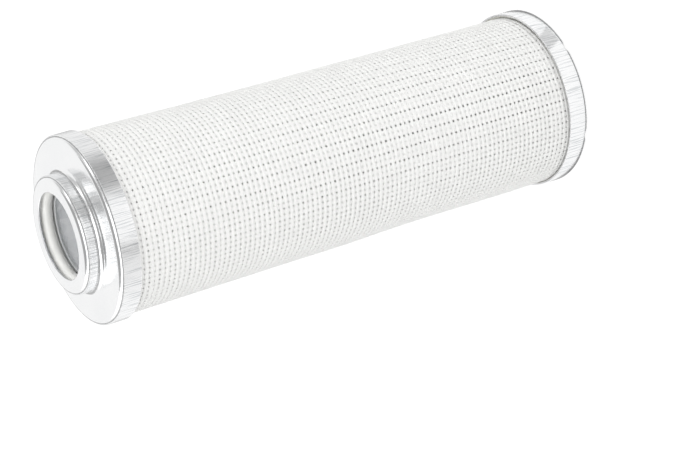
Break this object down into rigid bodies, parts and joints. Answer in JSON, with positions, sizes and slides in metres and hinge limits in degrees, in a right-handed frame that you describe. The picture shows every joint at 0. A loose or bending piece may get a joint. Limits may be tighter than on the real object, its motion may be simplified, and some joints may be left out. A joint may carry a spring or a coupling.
{
  "type": "hydraulic filter",
  "caption": "Cylindrical hydraulic filter element: pleated glass fibre pack in a net sleeve between two drawn steel end caps, one closed, one with a sealed neck.",
  "frame": {"origin": "centre of the closed end cap's flat face, which the element stands on", "axes": "+Z along the element's axis, from the closed end to the neck"},
  "size_m": [0.078, 0.078, 0.2341],
  "materials": {
    "cap_steel": "bright zinc-plated drawn steel, clean",
    "seat_steel": "zinc-plated pressed steel",
    "seal_rubber": "smooth black nitrile rubber, lightly oiled",
    "core_steel": "galvanised perforated sheet",
    "clip_steel": "tinned strip",
    "sleeve_net": "off-white extruded plastic net",
    "potting": "cast pale epoxy adhesive",
    "support_mesh": "coated wire cloth, grey-white",
    "fleece": "white polyester fleece",
    "media": "white resin-bonded glass fibre felt"
  },
  "bodies": {
    "root": {"open_end_cap": "cap_steel", "closed_end_cap": "cap_steel", "seal_seat": "seat_steel", "neck_seal": "seal_rubber", "core_tube": "core_steel", "pleat_seam_clip": "clip_steel", "outer_sleeve": "sleeve_net", "open_end_potting": "potting", "closed_end_potting": "potting", "outer_support_mesh": "support_mesh", "pre_filter_fleece": "fleece", "glass_fibre_media": "media", "drainage_fleece": "fleece", "inner_support_mesh": "support_mesh"}
  },
  "joints": []
}
